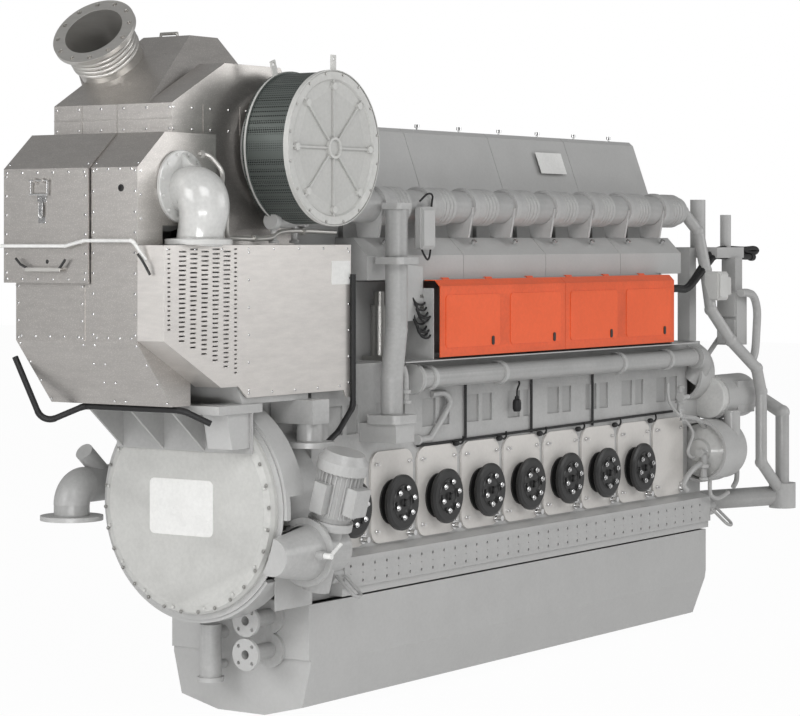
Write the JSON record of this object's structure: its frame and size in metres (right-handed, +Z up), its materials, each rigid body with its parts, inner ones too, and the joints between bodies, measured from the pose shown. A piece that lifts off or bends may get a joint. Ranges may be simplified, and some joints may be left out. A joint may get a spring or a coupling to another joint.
{
  "type": "marine diesel engine",
  "caption": "In-line marine diesel engine with turbochargers at the flywheel end, drum air filter, clad exhaust, orange injection covers, crankcase doors and a flat-bottomed oil sump.",
  "frame": {"origin": "on the sump's flat bottom, under the crank axis, at the middle of the cylinder row", "axes": "+X to the free end, -X to the flywheel end, -Y to the operating side with the orange covers, +Z up"},
  "size_m": [5.7092, 1.6121, 3.3525],
  "materials": {
    "engine_paint": "semi-gloss light grey engine paint",
    "cladding_steel": "satin embossed sheet",
    "outlet_steel": "satin",
    "orange_paint": "satin orange paint",
    "black_paint": "satin black paint",
    "filter_mesh": "dark perforated sheet",
    "machined_steel": "machined",
    "bare_iron": "bare casting",
    "door_steel": "light grey paint",
    "bright_metal": "bright plated",
    "white_paint": "gloss white paint",
    "cable_rubber": "matt black sheath"
  },
  "bodies": {
    "engine": {"engine_block": "engine_paint", "oil_sump": "engine_paint", "mounting_rails": "engine_paint", "lashing_loops": "engine_paint", "main_bearing_caps": "engine_paint", "pistons_and_rods": "machined_steel", "cylinder_liners": "bare_iron", "cylinder_heads": "engine_paint", "exhaust_manifold": "bare_iron", "injection_pumps": "machined_steel", "hood_panels": "engine_paint", "fasteners": "bright_metal", "air_manifold": "engine_paint", "pipe_brackets": "engine_paint", "valve_gear_cover": "engine_paint", "hot_box_tray": "engine_paint", "coolant_pipe": "engine_paint", "stand_pipe": "engine_paint", "crankcase_doors": "door_steel", "relief_valve_covers": "black_paint", "lp_turbo_casing": "engine_paint", "filter_drum": "filter_mesh", "filter_cover": "engine_paint", "exhaust_outlet": "outlet_steel", "cladding_top": "cladding_steel", "cladding_front": "cladding_steel", "heat_shield": "cladding_steel", "charge_air_cooler": "engine_paint", "high_turbo_casing": "engine_paint", "air_elbow": "engine_paint", "handrail": "white_paint", "flywheel_housing": "engine_paint", "flywheel_cover": "engine_paint", "turning_motor": "engine_paint", "turning_gearbox": "engine_paint", "flanged_connections": "engine_paint", "free_end_case": "engine_paint", "pump_casings": "engine_paint", "free_end_pipes": "engine_paint", "cable_harness": "cable_rubber"},
    "crank": {"crankshaft": "machined_steel", "big_end_bearings": "machined_steel", "flywheel": "machined_steel"},
    "cam": {"camshaft": "machined_steel"},
    "idler": {"idler_gear": "machined_steel"},
    "water_pump_rotor": {"pump_rotor": "machined_steel"},
    "lp_rotor": {"lp_turbo_rotor": "machined_steel"},
    "high_rotor": {"high_turbo_rotor": "machined_steel"},
    "cover_left": {"hot_box_cover_left": "orange_paint"},
    "cover_right": {"hot_box_cover_right": "orange_paint"},
    "latch_1": {"hot_box_latch_1": "black_paint"},
    "latch_2": {"hot_box_latch_2": "black_paint"},
    "latch_3": {"hot_box_latch_3": "black_paint"},
    "latch_4": {"hot_box_latch_4": "black_paint"},
    "relief_plates": {"relief_valve_plates": "black_paint"},
    "motor_shaft": {"motor_rotor": "machined_steel"},
    "gear_shaft": {"pinion_shaft": "machined_steel"},
    "pinion": {"turning_pinion": "machined_steel"},
    "lever": {"turning_lever": "white_paint"},
    "bail": {"bail_handle": "bright_metal"}
  },
  "joints": [
    {"name": "crank_turn", "type": "hinge", "parent": "engine", "child": "crank", "pos_m": [0, 0, 1.005], "axis": [1, 0, 0], "continuous": true},
    {"name": "cam_turn", "type": "hinge", "parent": "engine", "child": "cam", "pos_m": [0, -0.262, 1.46], "axis": [1, 0, 0], "continuous": true},
    {"name": "idler_turn", "type": "hinge", "parent": "engine", "child": "idler", "pos_m": [0, -0.10727, 1.26364], "axis": [1, 0, 0], "continuous": true},
    {"name": "water_pump_turn", "type": "hinge", "parent": "engine", "child": "water_pump_rotor", "pos_m": [0, -0.42, 1.005], "axis": [1, 0, 0], "continuous": true},
    {"name": "lp_rotor_turn", "type": "hinge", "parent": "engine", "child": "lp_rotor", "pos_m": [-1.961, 0, 2.661], "axis": [0, 1, 0], "continuous": true},
    {"name": "high_rotor_turn", "type": "hinge", "parent": "engine", "child": "high_rotor", "pos_m": [-2.704, 0, 2.475], "axis": [0, 1, 0], "continuous": true},
    {"name": "cover_left_open", "type": "hinge", "parent": "engine", "child": "cover_left", "pos_m": [0, -0.398, 2.039], "axis": [-1, 0, 0], "range_deg": [0, 85]},
    {"name": "cover_right_open", "type": "hinge", "parent": "engine", "child": "cover_right", "pos_m": [0, -0.398, 2.039], "axis": [-1, 0, 0], "range_deg": [0, 85]},
    {"name": "latch_1_turn", "type": "hinge", "parent": "cover_left", "child": "latch_1", "pos_m": [-0.52, -0.505, 1.728], "axis": [0, -1, 0], "range_deg": [0, 90]},
    {"name": "latch_2_turn", "type": "hinge", "parent": "cover_left", "child": "latch_2", "pos_m": [0.08, -0.505, 1.728], "axis": [0, -1, 0], "range_deg": [0, 90]},
    {"name": "latch_3_turn", "type": "hinge", "parent": "cover_right", "child": "latch_3", "pos_m": [0.68, -0.505, 1.728], "axis": [0, -1, 0], "range_deg": [0, 90]},
    {"name": "latch_4_turn", "type": "hinge", "parent": "cover_right", "child": "latch_4", "pos_m": [1.28, -0.505, 1.728], "axis": [0, -1, 0], "range_deg": [0, 90]},
    {"name": "relief_lift", "type": "slide", "parent": "engine", "child": "relief_plates", "axis": [0, -1, 0], "range_m": [0, 0.012], "stiffness_N_per_m": 60000, "springref_m": -0.004},
    {"name": "motor_turn", "type": "hinge", "parent": "engine", "child": "motor_shaft", "pos_m": [-2.015, -0.53985, 0.81063], "axis": [0, -0.2588, 0.9659], "continuous": true},
    {"name": "turning_shaft_turn", "type": "hinge", "parent": "engine", "child": "gear_shaft", "pos_m": [0, -0.51985, 0.81063], "axis": [1, 0, 0], "continuous": true},
    {"name": "pinion_engage", "type": "slide", "parent": "gear_shaft", "child": "pinion", "axis": [-1, 0, 0], "range_m": [0, 0.066]},
    {"name": "lever_turn", "type": "hinge", "parent": "engine", "child": "lever", "pos_m": [-2.2, -0.67785, 0.81063], "axis": [0, -1, 0], "range_deg": [0, 60]},
    {"name": "bail_swing", "type": "hinge", "parent": "engine", "child": "bail", "pos_m": [-3.023, 0.3, 2.502], "axis": [0, 1, 0], "range_deg": [0, 80]}
  ],
  "couplings": [
    {"joint": "cam_turn", "follows": "crank_turn", "ratio": 0.5},
    {"joint": "idler_turn", "follows": "crank_turn", "ratio": -0.75},
    {"joint": "water_pump_turn", "follows": "crank_turn", "ratio": -2.1818},
    {"joint": "turning_shaft_turn", "follows": "crank_turn", "ratio": -5.1667},
    {"joint": "motor_turn", "follows": "crank_turn", "ratio": -155},
    {"joint": "lever_turn", "follows": "pinion_engage", "rad_per_m": 15.867}
  ]
}
